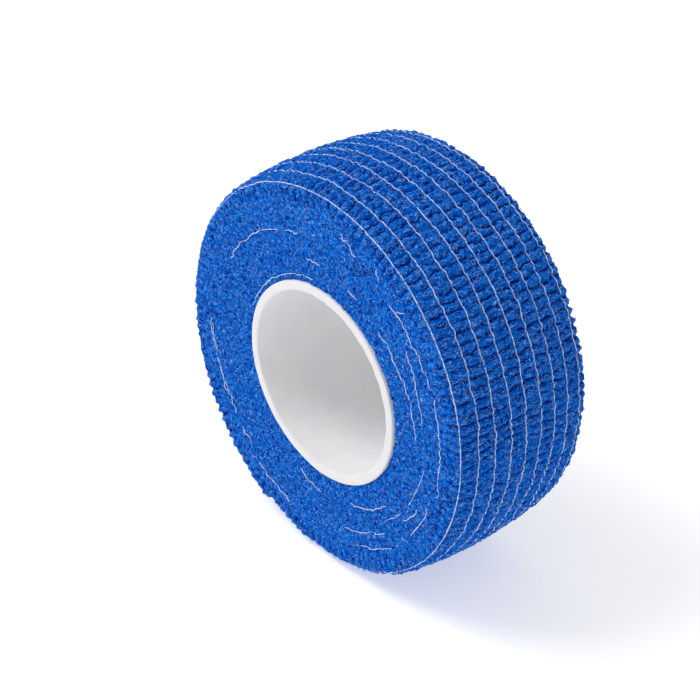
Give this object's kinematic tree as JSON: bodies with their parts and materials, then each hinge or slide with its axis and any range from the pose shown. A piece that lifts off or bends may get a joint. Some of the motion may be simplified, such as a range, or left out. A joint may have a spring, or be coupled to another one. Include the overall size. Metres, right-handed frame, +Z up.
{
  "type": "cohesive bandage roll",
  "caption": "Narrow elastic crepe bandage wound in a roll on a short paper tube, standing on its rim.",
  "frame": {"origin": "bottom centre of the whole object's box, on the flat spot that the roll stands on", "axes": "+Z up, +Y along the roll's axis from the front face to the back face, +X to the right as the front face is looked at"},
  "size_m": [0.0638, 0.025, 0.0652],
  "materials": {
    "bandage_fabric": "matte",
    "core_paper": "matte"
  },
  "bodies": {
    "root": {"bandage_roll": "bandage_fabric", "core_tube": "core_paper"}
  },
  "joints": []
}
